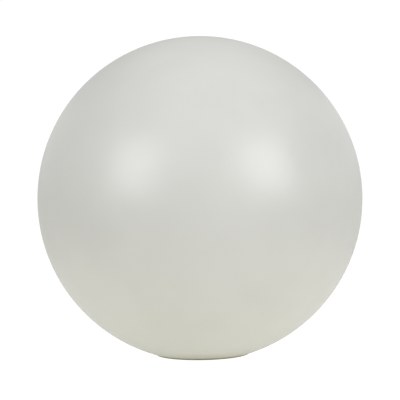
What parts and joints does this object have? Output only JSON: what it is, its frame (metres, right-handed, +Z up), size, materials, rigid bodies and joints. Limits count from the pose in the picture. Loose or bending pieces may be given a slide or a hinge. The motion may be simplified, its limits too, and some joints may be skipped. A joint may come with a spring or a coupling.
{
  "type": "garden globe floor lamp",
  "caption": "Ball-shaped cordless outdoor floor lamp: a hollow off-white globe that twists onto a sealed base with the battery, light board, power button and covered charging port.",
  "frame": {"origin": "on the floor, at the centre of the foot ring and on the globe's vertical axis", "axes": "+Z up through the globe's centre; the recess in the underside runs along X, with the power button on the -X side and the charging port on the +X side; -Y faces the viewer"},
  "size_m": [0.3998, 0.3998, 0.3935],
  "materials": {
    "globe_plastic": "satin, faintly translucent moulded polyethylene",
    "base_plastic": "fine matt moulded texture",
    "housing_plastic": "satin moulded white",
    "button_plastic": "satin moulded dark grey",
    "door_plastic": "satin moulded dark grey",
    "foot_rubber": "matt black",
    "seal_rubber": "soft matt grey",
    "thermal_rubber": "soft blue-grey gap pad",
    "screw_steel": "zinc-plated",
    "spring_steel": "drawn wire",
    "tab_nickel": "rolled nickel strip",
    "contact_metal": "plain turned",
    "socket_plastic": "matt black",
    "switch_plastic": "matt black",
    "board_green": "solder mask over glass laminate",
    "board_white": "white solder mask on an aluminium core",
    "chip_black": "moulded epoxy",
    "can_aluminium": "drawn can",
    "coil_ferrite": "ferrite and enamelled wire",
    "connector_plastic": "natural nylon",
    "cell_wrap": "shrink sleeve",
    "lead_red": "extruded jacket",
    "lead_black": "extruded jacket",
    "lead_white": "extruded jacket",
    "spreader_aluminium": "spun, plain",
    "led_phosphor": "white package with a yellow phosphor pool",
    "led_green": "small package",
    "clear_plastic": "clear moulded"
  },
  "bodies": {
    "base": {"base_plate": "base_plastic", "foot_ring": "foot_rubber", "globe_gasket": "seal_rubber", "rim_gasket": "seal_rubber", "base_screws": "screw_steel", "button_spring": "spring_steel", "button_o_ring": "seal_rubber", "power_switch": "switch_plastic", "charge_socket": "socket_plastic", "socket_pin": "contact_metal", "socket_seal": "seal_rubber", "port_hinge_pin": "spring_steel", "module_housing": "housing_plastic", "battery_cell_left": "cell_wrap", "battery_cell_right": "cell_wrap", "cell_straps": "tab_nickel", "battery_clamp": "housing_plastic", "clamp_screws": "screw_steel", "battery_lead_left": "lead_black", "battery_lead_right": "lead_red", "control_board": "board_green", "board_screws": "screw_steel", "power_coil": "coil_ferrite", "capacitors": "can_aluminium", "board_chips": "chip_black", "status_led": "led_green", "light_pipe": "clear_plastic", "lead_connector": "connector_plastic", "lead_grommet": "seal_rubber", "light_lead": "lead_white", "heat_spreader": "spreader_aluminium", "thermal_pad": "thermal_rubber", "light_board": "board_white", "light_chips": "led_phosphor", "light_screws": "screw_steel", "light_dome": "clear_plastic", "dome_gasket": "seal_rubber", "dome_screws": "screw_steel"},
    "globe": {"globe_shell": "globe_plastic"},
    "power_button": {"power_button": "button_plastic", "button_clip": "spring_steel", "switch_plunger": "switch_plastic"},
    "port_door": {"port_door": "door_plastic", "port_plug": "seal_rubber"}
  },
  "joints": [
    {"name": "globe_twist", "type": "hinge", "parent": "base", "child": "globe", "pos_m": [0, 0, 0.0042], "axis": [0, 0, 1], "range_deg": [0, 60]},
    {"name": "power_button_press", "type": "slide", "parent": "base", "child": "power_button", "axis": [0, 0, 1], "range_m": [0, 0.0015], "stiffness_N_per_m": 1500, "springref_m": -0.001, "deforming": ["button_spring"]},
    {"name": "port_door_hinge", "type": "hinge", "parent": "base", "child": "port_door", "pos_m": [0.0263, 0, 0.0049], "axis": [0, -1, 0], "range_deg": [0, 100]}
  ]
}
